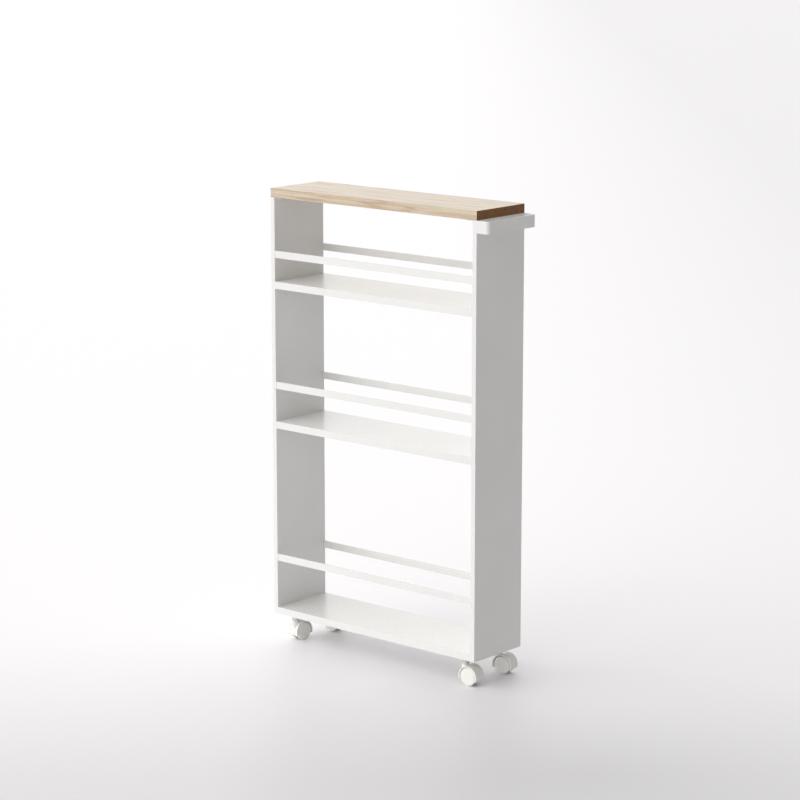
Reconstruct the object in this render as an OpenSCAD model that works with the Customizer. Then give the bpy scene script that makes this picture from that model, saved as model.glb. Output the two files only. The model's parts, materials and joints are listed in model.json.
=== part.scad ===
// Slim rolling utility cart: two hollow sheet-steel end panels, three steel trays,
// six guard rails, a wooden top board, a push handle and four twin-wheel casters.
// Units are millimetres, +Z is up, the floor is Z = 0. X runs along the cart towards
// the handle, and the front of the cart faces -Y. The origin is the centre of the
// overall footprint, on the floor.

/* [Carcass] */
// Length over the two end panels
body_w = 440; // [360:5:520]
// Depth from front to back
body_d = 120; // [110:5:180]
// Height from the floor to the top of the board
overall_h = 775; // [740:5:860]
// Thickness of the wooden top board
board_t = 15; // [12:1:20]
// Thickness of a hollow end panel
panel_t = 8; // [8:0.5:12]
// Gap between the floor and the carcass
floor_gap = 45; // [45:1:60]
// Sheet thickness of panels and trays
sheet_t = 1; // [0.8:0.1:1.2]

/* [Trays and rails] */
// Height of the middle tray's surface
middle_tray_z = 381; // [300:1:420]
// Height of the top tray's surface
top_tray_z = 619; // [560:1:650]
// Depth of the folded tray edge
lip_h = 12; // [12:1:16]
// Width of the lip's turned-in hem
hem_w = 8; // [6:0.5:8]
// Height of a guard rail
rail_h = 12; // [10:1:16]
// Thickness of a guard rail
rail_t = 3; // [2.5:0.5:4]
// Gap between the bottom tray and its rails
bottom_rail_rise = 82; // [60:1:120]
// Gap between the middle tray and its rails
middle_rail_rise = 56; // [40:1:80]
// Gap between the top tray and its rails
top_rail_rise = 40; // [30:1:60]

/* [Handle] */
// How far the handle stands out from the end panel
handle_out = 24; // [22:1:45]
// Height of the handle's flat bar
handle_h = 20; // [16:1:30]
// Thickness of the handle's flat bar
handle_t = 3; // [3:0.5:5]
// Outer radius of the handle's bends
handle_bend_r = 6; // [4:0.5:10]

/* [Casters] */
// Diameter of a caster wheel
wheel_d = 30; // [28:1:32]
// Width over the two wheels of a caster
caster_w = 22; // [20:1:26]
// Distance from the swivel axis to the axle
caster_trail = 12; // [12:0.5:15]
// Radius of the hood over the wheels
hood_r = 18; // [17.5:0.5:19]
// Swivel axis to the outer face of the end panel
stem_in_x = 32; // [30:1:45]
// Swivel axis to the front or back edge
stem_in_y = 17; // [17:1:20]
// Parked heading of the front left caster
front_left_turn = 85; // [0:1:359]
// Parked heading of the back left caster
back_left_turn = 0; // [0:1:359]
// Parked heading of the front right caster
front_right_turn = 2; // [0:1:359]
// Parked heading of the back right caster
back_right_turn = 8; // [0:1:359]

/* [Hidden] */
$fn = 64;

corner_names = ["front_left", "back_left", "front_right", "back_right"];
level_names = ["bottom", "middle", "top"];

white = "#f1f0ec";
nylon = "#e9e7e0";
zinc = "#b9bcc0";
veneer = "#c79f74";

// The hood's leading edge and trailing edge, as angles about the axle
hood_lead = -20;
hood_tail = 200;

left = -(body_w + handle_out) / 2;
right = left + body_w;
front = -body_d / 2;
back = front + body_d;
inner_left = left + panel_t;
inner_right = right - panel_t;
board_z = overall_h - board_t;
tray_z = [floor_gap + lip_h, middle_tray_z, top_tray_z];
rail_z = tray_z + [bottom_rail_rise, middle_rail_rise, top_rail_rise];

// Top board and its screws
band_t = 1;
board_screw_r = 1.75;
board_screw_len = 12;
board_screw_y = [front + 30, back - 30];
flange_w = 14;
flange_screw_x = left + panel_t + flange_w / 2;

// M4 tray screws into clinch nuts behind the liner
screw_r = 2;
screw_len = 6;
screw_head_r = 3.8;
screw_head_h = 2.2;
screw_hole_r = 2.2;
screw_drop = 6;
screw_y = [front + 25, back - 25];
clinch_nut_r = 4;
clinch_nut_h = 3.2;
recess_l = 3.8;
recess_w = 0.8;
recess_h = 1.2;

// Rail ends plug into slots in the liner
rail_inset = 0.5;
tongue_l = 5;
tongue_t = 1.5;
tongue_h = 8;
slot_clear = 0.1;

// Hat brackets that carry the casters
bracket_w = 36;
bracket_t = 1.5;

// Caster pieces, heights from the floor
wheel_r = wheel_d / 2;
hood_in_r = wheel_r + 0.9;
web_w = 7.4;
hub_r = 6;
wheel_in = web_w / 2 + 0.3;
wheel_out = caster_w / 2;
axle_r = 2;
axle_clear = 0.05;
axle_end = wheel_out - 1.4;
boss_r = 6.5;
boss_z = [wheel_r + 8, wheel_r + 20];
journal_r = 3.5;
journal_z = wheel_r + 15.5;
tail_r = 2.5;
tail_z = wheel_r + 4.5;
shoulder_r = 5.5;
shoulder_z = boss_z[1] + 1;
collar_flats = 12;
collar_z = floor_gap - 5;
swivel_clear = 0.05;
washer_r = [3.6, 6];
washer_t = 0.7;
ring_r = [2.9, 4.1];
ring_z = [journal_z + 2.3, journal_z + 3.1];
ring_clear = 0.3;
thread_r = 4;
thread_len = 9.5;
nut_flats = 13;
nut_h = 6.5;

corner_x = [left + stem_in_x, left + stem_in_x, right - stem_in_x, right - stem_in_x];
corner_y = [front + stem_in_y, back - stem_in_y, front + stem_in_y, back - stem_in_y];
corner_turn = [front_left_turn, back_left_turn, front_right_turn, back_right_turn];

// A block given by its lowest and highest corners
module block(low, high) {
    translate(low)
        cube(high - low);
}

// Draws its children at the left end, or mirrored to the right end
module at_end(end) {
    if (end == "left")
        children();
    else
        translate([left + right, 0, 0])
            mirror([1, 0, 0])
                children();
}

// Draws its children at the front, or mirrored to the back
module at_face(face) {
    if (face == "front")
        children();
    else
        translate([0, front + back, 0])
            mirror([0, 1, 0])
                children();
}

// Draws its children at one caster: the origin on the swivel axis at floor level,
// +X towards the axle
module at_caster(i) {
    translate([corner_x[i], corner_y[i], 0])
        rotate(corner_turn[i])
            children();
}

// Draws its children about the axle, its axis turned from Z to Y
module at_axle() {
    translate([caster_trail, 0, wheel_r])
        rotate([90, 0, 0])
            children();
}

function across_flats_r(flats) = flats / 2 / cos(30);

// Top board, inside its edge bands, drilled for the screws from below
module top_board() {
    color(veneer)
        difference() {
            block([left + band_t, front + band_t, board_z],
                  [right - band_t, back - band_t, overall_h]);
            for (end = ["left", "right"], y = board_screw_y)
                at_end(end)
                    translate([flange_screw_x, y, board_z - 1])
                        cylinder(h = board_screw_len + 1, r = board_screw_r);
        }
}

// Four veneer strips round the board's edge
module edge_bands() {
    color(veneer) {
        for (face = ["front", "back"])
            at_face(face)
                block([left, front, board_z], [right, front + band_t, overall_h]);
        for (end = ["left", "right"])
            at_end(end)
                block([left, front + band_t, board_z],
                      [left + band_t, back - band_t, overall_h]);
    }
}

// Cross slot in the top of a screw head
module cross_recess() {
    for (turn = [0, 90])
        rotate(turn)
            translate([-recess_l / 2, -recess_w / 2, 0])
                cube([recess_l, recess_w, recess_h + 1]);
}

// Pan-head screw along +Z: the head's underside is at Z = 0, the shank goes down
module pan_screw(shank_r, shank_len) {
    difference() {
        union() {
            translate([0, 0, -shank_len])
                cylinder(h = shank_len, r = shank_r);
            cylinder(h = screw_head_h * 0.6, r = screw_head_r);
            translate([0, 0, screw_head_h * 0.6])
                cylinder(h = screw_head_h * 0.4, r1 = screw_head_r, r2 = screw_head_r * 0.75);
        }
        translate([0, 0, screw_head_h - recess_h])
            cross_recess();
    }
}

// Four screws up through the liner flanges into the board
module board_screws() {
    color(zinc)
        for (end = ["left", "right"], y = board_screw_y)
            at_end(end)
                translate([flange_screw_x, y, board_z - sheet_t])
                    rotate([180, 0, 0])
                        pan_screw(board_screw_r, board_screw_len + sheet_t);
}

// Outer pan of an end panel: the outer face with four folded returns
module panel_skin(end) {
    color(white)
        at_end(end)
            difference() {
                block([left, front, floor_gap], [inner_left, back, board_z]);
                block([left + sheet_t, front + sheet_t, floor_gap + sheet_t],
                      [inner_left + 1, back - sheet_t, board_z - sheet_t]);
                block([inner_left - sheet_t, front + sheet_t, board_z - 2 * sheet_t],
                      [inner_left + 1, back - sheet_t, board_z + 1]);
            }
}

// Centres of the tray screws on one end panel
module at_tray_screws(end) {
    for (z = tray_z, y = screw_y)
        at_end(end)
            translate([inner_left, y, z - screw_drop])
                rotate([0, 90, 0])
                    children();
}

// Inner plate of an end panel, folded at the top into a flange under the board
module panel_liner(end) {
    slot_front = front + rail_inset + rail_t - tongue_t - slot_clear;
    color(white)
        difference() {
            at_end(end) {
                block([inner_left - sheet_t, front + sheet_t, floor_gap + sheet_t],
                      [inner_left, back - sheet_t, board_z]);
                block([inner_left - sheet_t, front + sheet_t, board_z - sheet_t],
                      [inner_left + flange_w, back - sheet_t, board_z]);
            }
            at_tray_screws(end)
                translate([0, 0, -sheet_t - 1])
                    cylinder(h = sheet_t + 2, r = screw_hole_r);
            at_end(end)
                for (y = board_screw_y)
                    translate([flange_screw_x, y, board_z - sheet_t - 1])
                        cylinder(h = sheet_t + 2, r = screw_hole_r);
            at_end(end)
                for (face = ["front", "back"], z = rail_z)
                    at_face(face)
                        block([inner_left - sheet_t - 1, slot_front,
                               z + (rail_h - tongue_h) / 2 - slot_clear],
                              [inner_left + 1, slot_front + tongue_t + 2 * slot_clear,
                               z + (rail_h + tongue_h) / 2 + slot_clear]);
        }
}

// Tray: a sheet with four edges folded down, the long ones hemmed inwards
module tray(level) {
    top = tray_z[level];
    color(white)
        difference() {
            block([inner_left, front, top - lip_h], [inner_right, back, top]);
            block([inner_left + sheet_t, front + sheet_t, top - lip_h + sheet_t],
                  [inner_right - sheet_t, back - sheet_t, top - sheet_t]);
            block([inner_left + sheet_t, front + hem_w, top - lip_h - 1],
                  [inner_right - sheet_t, back - hem_w, top - lip_h + sheet_t + 1]);
            for (end = ["left", "right"], y = screw_y)
                at_end(end)
                    translate([inner_left - 1, y, top - screw_drop])
                        rotate([0, 90, 0])
                            cylinder(h = sheet_t + 2, r = screw_hole_r);
        }
}

// Guard rail: a flat bar with a stepped tongue at each end
module rail(level, face) {
    z = rail_z[level];
    y = front + rail_inset;
    tongue_z = z + (rail_h - tongue_h) / 2;
    color(white)
        at_face(face) {
            block([inner_left, y, z], [inner_right, y + rail_t, z + rail_h]);
            block([inner_left - tongue_l, y + rail_t - tongue_t, tongue_z],
                  [inner_right + tongue_l, y + rail_t, tongue_z + tongue_h]);
        }
}

// Twelve screws that hold the trays to the end panels
module tray_screws() {
    color(zinc)
        for (end = ["left", "right"])
            at_tray_screws(end)
                translate([0, 0, sheet_t])
                    pan_screw(screw_r, screw_len);
}

// Twelve threaded nuts pressed into the back of the liners
module clinch_nuts() {
    color(zinc)
        for (end = ["left", "right"])
            at_tray_screws(end)
                translate([0, 0, -sheet_t - clinch_nut_h])
                    difference() {
                        cylinder(h = clinch_nut_h, r = clinch_nut_r);
                        translate([0, 0, -1])
                            cylinder(h = clinch_nut_h + 2, r = screw_r);
                    }
}

// One quarter bend of the handle bar, from the +X side towards the +Y side
module handle_bend() {
    rotate_extrude(angle = 90)
        translate([handle_bend_r - handle_t, 0])
            square([handle_t, handle_h]);
}

// Push handle: a flat bar bent to a U and welded to the right end panel
module push_handle() {
    low = board_z - handle_h;
    outer = right + handle_out;
    color(white) {
        block([outer - handle_t, front + handle_bend_r, low],
              [outer, back - handle_bend_r, board_z]);
        for (face = ["front", "back"])
            at_face(face) {
                block([right, front, low],
                      [outer - handle_bend_r, front + handle_t, board_z]);
                translate([outer - handle_bend_r, front + handle_bend_r, low])
                    rotate(-90)
                        handle_bend();
            }
    }
}

// Hat-shaped bracket welded under the bottom tray, with a hole for each stem
module caster_bracket(end) {
    middle = left + stem_in_x;
    top = tray_z[0] - sheet_t;
    color(white)
        at_end(end)
            difference() {
                block([middle - bracket_w / 2, front + hem_w, floor_gap],
                      [middle + bracket_w / 2, back - hem_w, top]);
                block([middle - bracket_w / 2 + bracket_t, front, floor_gap + bracket_t],
                      [middle + bracket_w / 2 - bracket_t, back, top + 1]);
                for (y = [corner_y[0], corner_y[1]])
                    translate([middle, y, floor_gap - 1])
                        cylinder(h = bracket_t + 2, r = thread_r + 0.2);
            }
}

// Four hexagon nuts above the brackets
module caster_nuts() {
    color(zinc)
        for (i = [0:3])
            at_caster(i)
                translate([0, 0, floor_gap + bracket_t])
                    difference() {
                        cylinder(h = nut_h, r = across_flats_r(nut_flats), $fn = 6);
                        translate([0, 0, -1])
                            cylinder(h = nut_h + 2, r = thread_r);
                    }
}

// Four washers between the stem shoulders and the hoods
module swivel_washers() {
    color(nylon)
        for (i = [0:3])
            at_caster(i)
                translate([0, 0, shoulder_z - washer_t])
                    difference() {
                        cylinder(h = washer_t, r = washer_r[1]);
                        translate([0, 0, -1])
                            cylinder(h = washer_t + 2, r = washer_r[0]);
                    }
}

// Four spring rings that keep the stems in the hoods
module stem_rings() {
    color(zinc)
        for (i = [0:3])
            at_caster(i)
                translate([0, 0, ring_z[0]])
                    difference() {
                        cylinder(h = ring_z[1] - ring_z[0], r = ring_r[1]);
                        translate([0, 0, -1])
                            cylinder(h = 3, r = ring_r[0]);
                    }
}

// Caster stem: thread, hexagon collar, shoulder, journal, grooved for the ring, and tail
module caster_stem(i) {
    color(zinc)
        at_caster(i)
            difference() {
                union() {
                    translate([0, 0, tail_z])
                        cylinder(h = journal_z - tail_z, r = tail_r);
                    translate([0, 0, journal_z])
                        cylinder(h = shoulder_z - journal_z, r = journal_r);
                    translate([0, 0, shoulder_z])
                        cylinder(h = collar_z - shoulder_z, r = shoulder_r);
                    translate([0, 0, collar_z])
                        cylinder(h = floor_gap - collar_z, r = across_flats_r(collar_flats),
                                 $fn = 6);
                    translate([0, 0, floor_gap])
                        cylinder(h = thread_len, r = thread_r);
                }
                translate([0, 0, ring_z[0]])
                    difference() {
                        cylinder(h = ring_z[1] - ring_z[0], r = journal_r + 1);
                        translate([0, 0, -1])
                            cylinder(h = 3, r = ring_r[0]);
                    }
            }
}

// Hood's curved cover over the two wheels
module hood_shell() {
    at_axle()
        rotate(hood_lead)
            rotate_extrude(angle = hood_tail - hood_lead)
                translate([hood_in_r, -caster_w / 2])
                    square([hood_r - hood_in_r, caster_w]);
}

// Hood's web between the wheels, with the column that holds the stem's tail
module hood_web() {
    column = 2 * (tail_r + 2);
    translate([0, web_w / 2, 0])
        at_axle()
            linear_extrude(web_w) {
                circle(r = hub_r);
                intersection() {
                    circle(r = hood_in_r + 0.5);
                    translate([-hood_r, -hub_r])
                        square([2 * hood_r, hub_r + hood_r]);
                    translate([-hood_r, -2])
                        rotate(8)
                            square([2 * hood_r, 2 * hood_r]);
                }
                translate([-caster_trail - column / 2, tail_z - wheel_r - 3])
                    square([column, journal_z - tail_z + 3.5]);
            }
}

// Hood's boss round the stem, cut back to clear the wheels
module hood_boss() {
    difference() {
        translate([0, 0, boss_z[0]])
            cylinder(h = boss_z[1] - boss_z[0], r = boss_r);
        at_axle()
            cylinder(h = 2 * caster_w, r = hood_in_r, center = true);
    }
}

// Caster hood: the swivelling body
module caster_hood(i) {
    color(nylon)
        at_caster(i)
            difference() {
                union() {
                    hood_shell();
                    hood_web();
                    hood_boss();
                }
                translate([0, 0, tail_z - 0.5])
                    cylinder(h = boss_z[1], r = tail_r + swivel_clear);
                translate([0, 0, journal_z - 0.3])
                    cylinder(h = boss_z[1], r = journal_r + swivel_clear);
                translate([0, 0, ring_z[0] - ring_clear])
                    cylinder(h = ring_z[1] - ring_z[0] + 2 * ring_clear, r = ring_r[1] + ring_clear);
                at_axle()
                    cylinder(h = 2 * web_w, r = axle_r, center = true);
            }
}

// Steel axle pressed through the hood's web
module caster_axle(i) {
    color(zinc)
        at_caster(i)
            at_axle()
                cylinder(h = 2 * axle_end, r = axle_r, center = true);
}

// Half section of a wheel: radius, then distance from the caster's middle plane
function wheel_section() = let (
    bore = axle_r + axle_clear,
    rim = wheel_r - 3,
    face = wheel_out
) [
    [bore, wheel_in],
    [hub_r - 0.5, wheel_in],
    [hub_r - 0.5, wheel_in + 3.5],
    [rim, wheel_in + 3.5],
    [rim, wheel_in + 0.3],
    [wheel_r - 0.8, wheel_in + 0.3],
    [wheel_r, wheel_in + 1.1],
    [wheel_r, face - 1.6],
    [wheel_r - 0.5, face - 0.8],
    [wheel_r - 1.4, face - 0.3],
    [rim - 1, face],
    [0, face],
    [0, axle_end + 0.1],
    [bore, axle_end + 0.1]
];

// Caster wheel: solid white nylon, with a blind hub bore on the inner side
module caster_wheel(i, side) {
    color(nylon)
        at_caster(i)
            at_axle()
                rotate([side == 1 ? 0 : 180, 0, 0])
                    rotate_extrude()
                        polygon(wheel_section());
}

top_board();
edge_bands();
board_screws();
panel_skin("left");  // left_panel_skin
panel_skin("right");  // right_panel_skin
panel_liner("left");  // left_panel_liner
panel_liner("right");  // right_panel_liner
tray_screws();
clinch_nuts();
push_handle();
caster_bracket("left");  // left_caster_bracket
caster_bracket("right");  // right_caster_bracket
caster_nuts();
swivel_washers();
stem_rings();
for (i = [0:2]) {
    tray(i);
    rail(i, "front");
    rail(i, "back");
}
for (i = [0:3]) {
    caster_stem(i);
    caster_hood(i);
    caster_axle(i);
    caster_wheel(i, 1);
    caster_wheel(i, 2);
}
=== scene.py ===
import json
import math

import bmesh
import bpy
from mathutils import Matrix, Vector


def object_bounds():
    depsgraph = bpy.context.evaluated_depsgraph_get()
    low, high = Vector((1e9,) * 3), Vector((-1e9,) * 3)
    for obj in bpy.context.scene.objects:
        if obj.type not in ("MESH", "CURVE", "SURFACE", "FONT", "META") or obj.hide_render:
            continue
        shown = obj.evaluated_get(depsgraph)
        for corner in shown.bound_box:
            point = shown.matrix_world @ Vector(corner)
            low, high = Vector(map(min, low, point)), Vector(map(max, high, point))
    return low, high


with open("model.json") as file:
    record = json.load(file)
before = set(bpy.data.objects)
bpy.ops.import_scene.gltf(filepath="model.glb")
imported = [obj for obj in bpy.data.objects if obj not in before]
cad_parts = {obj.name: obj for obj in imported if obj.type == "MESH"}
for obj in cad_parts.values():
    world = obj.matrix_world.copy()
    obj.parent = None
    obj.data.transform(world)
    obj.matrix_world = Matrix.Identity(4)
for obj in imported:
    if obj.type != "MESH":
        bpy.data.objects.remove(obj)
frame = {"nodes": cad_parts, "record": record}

cad_low, cad_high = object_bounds()
MM = 0.001


# ---------------------------------------------------------------- node helpers

class Tree:
    """A short way to build the node tree of a world or a material."""

    def __init__(self, owner):
        owner.use_nodes = True
        self.tree = owner.node_tree

    def add(self, kind, inputs=None, **settings):
        """Adds a node; inputs maps a socket's name or number to a value or an output."""
        node = self.tree.nodes.new(kind)
        for key, value in settings.items():
            setattr(node, key, value)
        for key, value in (inputs or {}).items():
            self.plug(value, node.inputs[key])
        return node

    def plug(self, value, socket):
        if isinstance(value, bpy.types.NodeSocket):
            self.tree.links.new(value, socket)
        else:
            socket.default_value = value

    def math(self, operation, *values):
        inputs = dict(enumerate(values))
        return self.add("ShaderNodeMath", inputs, operation=operation).outputs["Value"]

    def measure(self, operation, a, b):
        """One number from two vectors, such as their dot product or distance."""
        inputs = {0: a, 1: b}
        return self.add("ShaderNodeVectorMath", inputs, operation=operation).outputs["Value"]


class Finish(Tree):
    """The node tree of one new material, built around its shader."""

    def __init__(self, name):
        self.material = bpy.data.materials.new(name)
        super().__init__(self.material)
        self.shader = self.tree.nodes["Principled BSDF"]

    def set(self, **sockets):
        """Sets the shader's own sockets: coat_roughness is Coat Roughness."""
        for key, value in sockets.items():
            name = key.replace("_", " ").title().replace("Ior", "IOR")
            self.plug(value, self.shader.inputs[name])

    def place(self, scale=(1, 1, 1), turn=(0, 0, 0)):
        """Object coordinates in metres, scaled and turned."""
        where = self.add("ShaderNodeTexCoord").outputs["Object"]
        inputs = {"Vector": where, "Scale": scale, "Rotation": turn}
        return self.add("ShaderNodeMapping", inputs).outputs["Vector"]

    def noise(self, vector, scale=1.0, detail=2.0, rough=0.5, distortion=0.0):
        inputs = {"Vector": vector, "Scale": scale, "Detail": detail, "Roughness": rough,
                  "Distortion": distortion}
        return self.add("ShaderNodeTexNoise", inputs).outputs["Fac"]

    def ramp(self, value, low, high, out_low=0.0, out_high=1.0):
        """Maps low to out_low and high to out_high, and holds both beyond them."""
        inputs = {"Value": value, "From Min": low, "From Max": high, "To Min": out_low,
                  "To Max": out_high}
        return self.add("ShaderNodeMapRange", inputs).outputs["Result"]

    def mix(self, factor, a, b, blend="MIX"):
        node = self.add("ShaderNodeMix", data_type="RGBA", blend_type=blend)
        factor_socket, a_socket, b_socket, color_output = 0, 6, 7, 2
        for socket, value in ((factor_socket, factor), (a_socket, a), (b_socket, b)):
            self.plug(value, node.inputs[socket])
        return node.outputs[color_output]

    def edges(self, radius):
        """1 along sharp edges and 0 on flats, from a rounded copy of the surface's normal."""
        rounded = self.add("ShaderNodeBevel", {"Radius": radius}, samples=4).outputs["Normal"]
        flat = self.add("ShaderNodeNewGeometry").outputs["Normal"]
        return self.ramp(self.measure("DOT_PRODUCT", rounded, flat), 1.0, 0.8)

    def bump(self, height, distance, strength):
        inputs = {"Height": height, "Distance": distance, "Strength": strength}
        return self.add("ShaderNodeBump", inputs).outputs["Normal"]

    def done(self, color, normal):
        self.set(base_color=color, normal=normal)
        return self.material


# ---------------------------------------------------------------- materials

def powder_coat():
    """White powder coat: a fine orange peel, faint clouding, and thinner paint on the edges."""
    dull, clear, thin = (0.75, 0.745, 0.73, 1), (0.78, 0.775, 0.76, 1), (0.70, 0.695, 0.68, 1)
    m = Finish("white_powder_coat")
    where = m.place()
    cloud = m.noise(where, 9.0)
    peel = m.noise(where, 620.0, rough=0.55)
    speck = m.noise(where, 2600.0, detail=1.0)
    tone = m.mix(m.ramp(cloud, 0.3, 0.7), dull, clear)
    tone = m.mix(m.math("MULTIPLY", m.edges(0.8 * MM), 0.35), tone, thin)
    height = m.math("ADD", peel, m.math("MULTIPLY", speck, 0.25))
    m.set(roughness=m.ramp(peel, 0.3, 0.7, 0.26, 0.38))
    return m.done(tone, m.bump(height, 0.035 * MM, 0.5))


def veneer():
    """Oak veneer, its grain along the cart: long streaks, a slow figure, dark lines, fine dark
    pores, and a dark stained band without lacquer on the two ends."""
    pale, dark, stain = (0.64, 0.55, 0.415, 1), (0.51, 0.39, 0.27, 1), (0.40, 0.225, 0.10, 1)
    line_tone, pore_tone = (0.42, 0.25, 0.16, 1), (0.34, 0.21, 0.14, 1)
    ring_count = 9.0
    m = Finish("oak_veneer")
    figure = m.noise(m.place((1.5, 30, 30)), detail=3.0, rough=0.6, distortion=0.35)
    streak = m.noise(m.place((5, 210, 210)), detail=4.0, rough=0.6, distortion=0.3)
    dash = m.noise(m.place((95, 1700, 1700)), detail=1.0)

    rings = m.math("FRACT", m.math("MULTIPLY", figure, ring_count))
    rings = m.math("ABSOLUTE", m.math("SUBTRACT", rings, 0.5))
    body = m.math("ADD", m.math("MULTIPLY", streak, 0.62), m.math("MULTIPLY", rings, 0.55))
    color = m.mix(m.ramp(body, 0.26, 0.66), dark, pale)
    line = m.math("MULTIPLY", m.ramp(rings, 0.13, 0.03), m.ramp(streak, 0.38, 0.58))
    color = m.mix(m.math("MULTIPLY", line, 0.7), color, line_tone)
    pits = m.ramp(dash, 0.60, 0.68)
    color = m.mix(m.math("MULTIPLY", pits, 0.45), color, pore_tone)

    facing = m.add("ShaderNodeTexCoord").outputs["Normal"]
    end = m.math("ABSOLUTE", m.add("ShaderNodeSeparateXYZ", {"Vector": facing}).outputs["X"])

    def toward_ends(elsewhere, at_end):
        return m.ramp(end, 0.6, 0.8, elsewhere, at_end)

    color = m.mix(toward_ends(0.0, 1.0), color, m.mix(1.0, color, stain, "MULTIPLY"))
    m.set(coat_weight=toward_ends(0.35, 0.0), coat_roughness=0.30,
          specular_ior_level=toward_ends(0.5, 0.25), roughness=m.ramp(streak, 0.3, 0.7, 0.42, 0.56))
    height = m.math("SUBTRACT", m.math("MULTIPLY", streak, 0.5), pits)
    return m.done(color, m.bump(height, 0.08 * MM, 0.5))


def nylon():
    """White moulded nylon: slightly translucent, with a faint flow pattern and soft scuffs."""
    shaded, bright, scuffed = (0.81, 0.795, 0.75, 1), (0.85, 0.84, 0.80, 1), (0.55, 0.54, 0.51, 1)
    m = Finish("white_nylon")
    where = m.place()
    flow = m.noise(where, 60.0, distortion=0.8)
    grain = m.noise(where, 1500.0)
    scuff = m.ramp(m.noise(where, 240.0, detail=4.0, rough=0.7), 0.56, 0.75)
    tone = m.mix(m.math("MULTIPLY", scuff, 0.10), m.mix(flow, shaded, bright), scuffed)
    rough = m.math("ADD", m.ramp(grain, 0.3, 0.7, 0.32, 0.42), m.math("MULTIPLY", scuff, 0.12))
    m.set(roughness=rough, subsurface_weight=0.4, subsurface_scale=3 * MM,
          subsurface_radius=(1.0, 0.95, 0.85))
    return m.done(tone, m.bump(grain, 0.02 * MM, 0.4))


def zinc():
    """Zinc-plated steel: fine turning marks and a patchy bright passivation."""
    blue, warm = (0.60, 0.61, 0.63, 1), (0.72, 0.72, 0.70, 1)
    m = Finish("zinc_steel")
    patch = m.noise(m.place(), 220.0, detail=3.0)
    lathe = m.noise(m.place((300, 300, 5200)), detail=1.0)
    wear = m.math("ADD", patch, m.math("MULTIPLY", lathe, 0.6))
    m.set(metallic=1.0, roughness=m.ramp(wear, 0.5, 1.1, 0.24, 0.42))
    return m.done(m.mix(patch, blue, warm), m.bump(lathe, 0.02 * MM, 0.35))


def floor_sheet():
    """Studio floor, white behind the cart, with painted shade: greyer towards the front and the
    right, and a soft painted shadow spot in front of the cart. The tones are fixed to the floor,
    in axes turned so that x runs to the right and y away, seen from the front right. Each one is
    a place from near to far and how light the floor is there, the ramp's own two ends first."""
    to_front_right = math.radians(-40.4)
    near, far = -1.5, 1.5
    # painted shade: the tones run from grey near the front to white at the back
    tones = ((0.0, 0.66), (1.0, 0.98), (0.3, 0.77), (0.42, 0.88), (0.54, 0.95), (0.7, 0.97))
    # painted shadow: a soft darker spot on the floor in front of the right-hand end
    shaded_spot, shaded_reach = (0.28, -0.58, 0), 0.55
    m = Finish("studio_floor")
    fine = m.noise(m.place(), 40.0)
    where = m.place(turn=(0, 0, to_front_right))
    split = m.add("ShaderNodeSeparateXYZ", {"Vector": where}).outputs
    # painted shade: the floor darker towards the front, white towards the back
    painted_depth_shade = m.add("ShaderNodeValToRGB", {"Fac": m.ramp(split["Y"], near, far)})
    ramp = painted_depth_shade.color_ramp
    ramp.interpolation = "B_SPLINE"
    for i, (spot, tone) in enumerate(tones):
        stop = ramp.elements[i] if i < 2 else ramp.elements.new(spot)
        stop.color = (tone, tone * 0.985, tone * 1.01, 1)
    # painted shade: the floor greyer towards the right
    painted_side_shade = m.ramp(split["X"], 0.1, 1.5, 1.0, 0.84)
    # painted shadow: darkest at the spot, fading out over its reach
    shade = m.ramp(m.measure("DISTANCE", where, shaded_spot), 0.0, shaded_reach, 0.82, 1.0)
    painted_shades = m.math("MULTIPLY", painted_side_shade, shade)
    m.set(roughness=0.5, specular_ior_level=0.3)
    # the floor's colour is its tones times the painted side shade and painted shadow spot
    color = m.mix(1.0, painted_depth_shade.outputs["Color"], painted_shades, "MULTIPLY")
    return m.done(color, m.bump(fine, 0.05 * MM, 0.2))


# ---------------------------------------------------------------- CAD nodes

def paint(node, material):
    mesh = frame["nodes"][node].data
    mesh.materials.clear()
    mesh.materials.append(material)


def shade_smooth(node):
    """Shades a CAD node by the normals it was packed with; its shape stays as it is."""
    for face in frame["nodes"][node].data.polygons:
        face.use_smooth = True


slot_materials = {"white_powder_coat": powder_coat(), "white_nylon": nylon(),
                  "zinc_steel": zinc(), "oak_veneer": veneer()}
for part in frame["record"]["subparts"]:
    paint(part["node"], slot_materials[part["material_slot"]])

for end in ("left", "right"):
    shade_smooth(f"{end}_panel_liner")
for level in ("bottom", "middle", "top"):
    shade_smooth(f"{level}_tray")
for node in ("push_handle", "top_board", "edge_bands"):
    shade_smooth(node)


# ---------------------------------------------------------------- floor, light and camera

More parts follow.
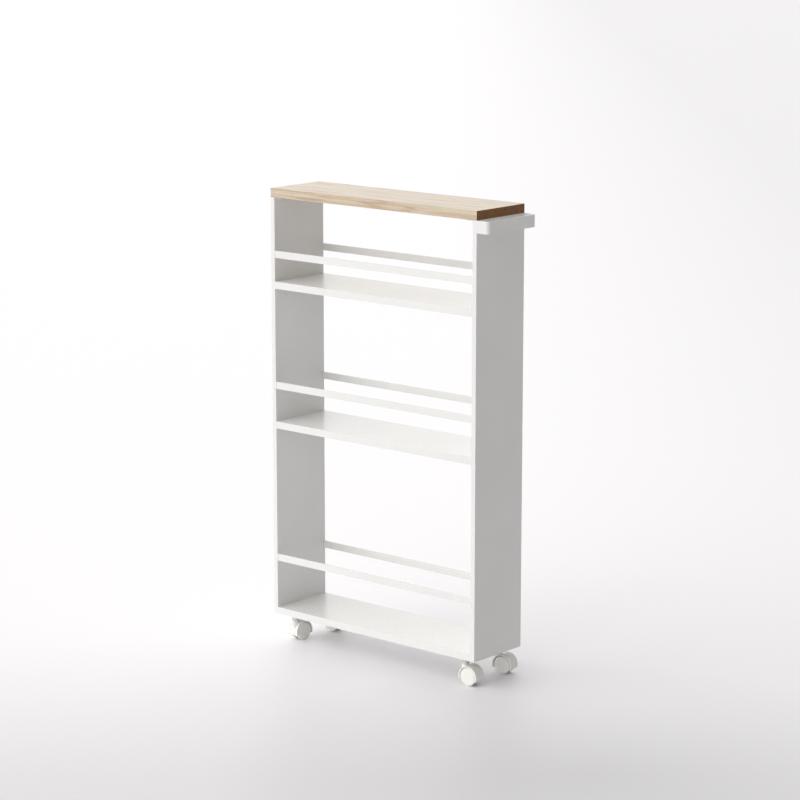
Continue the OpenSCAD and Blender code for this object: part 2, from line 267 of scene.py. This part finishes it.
def make_floor():
    radius, sides, below_wheels = 45.0, 96, 0.2 * MM
    mesh = bpy.data.meshes.new("floor")
    form = bmesh.new()
    bmesh.ops.create_circle(form, cap_ends=True, segments=sides, radius=radius)
    form.to_mesh(mesh)
    form.free()
    mesh.materials.append(floor_sheet())
    floor = bpy.data.objects.new("floor", mesh)
    floor.location.z = -below_wheels
    bpy.context.scene.collection.objects.link(floor)


def make_light():
    """A very large soft studio: an even light, a broad glow from the front left, and a bright
    wall at the back left. The higher a glow's focus, the narrower it is."""
    even_light = 0.29
    front = {"towards": (-0.33, -0.88, 0.33), "power": 2.40, "focus": 3.0}
    back = {"towards": (-0.70, 0.68, 0.21), "power": 1.31, "focus": 1.5}
    world = bpy.data.worlds.new("studio")
    w = Tree(world)
    where = w.add("ShaderNodeTexCoord").outputs["Generated"]
    level = even_light
    for glow in (front, back):
        facing = w.measure("DOT_PRODUCT", where, Vector(glow["towards"]).normalized())
        reach = w.math("POWER", w.math("MAXIMUM", facing, 0.0), glow["focus"])
        level = w.math("MULTIPLY_ADD", reach, glow["power"], level)
    sky = w.tree.nodes["Background"]
    w.plug(level, sky.inputs["Strength"])
    w.plug((1.0, 0.995, 0.985, 1), sky.inputs["Color"])
    bpy.context.scene.world = world


def make_camera():
    """From the front right and a little above, with a long lens."""
    azimuth, elevation, distance = math.radians(40.75), math.radians(11.63), 4.4705
    from_centre = Vector((-0.0071, 0.0072, 0.0488))
    aim = (cad_low + cad_high) / 2 + from_centre
    across = math.cos(elevation)
    back = Vector((math.sin(azimuth) * across, -math.cos(azimuth) * across, math.sin(elevation)))
    data = bpy.data.cameras.new("camera")
    data.sensor_width = 36.0
    data.lens = 122.2
    data.clip_start = 0.1
    data.clip_end = 120.0
    camera = bpy.data.objects.new("camera", data)
    camera.location = aim + back * distance
    camera.rotation_euler = (-back).to_track_quat("-Z", "Y").to_euler()
    bpy.context.scene.collection.objects.link(camera)
    bpy.context.scene.camera = camera


make_floor()
make_light()
make_camera()
bpy.context.scene.view_settings.view_transform = "Standard"
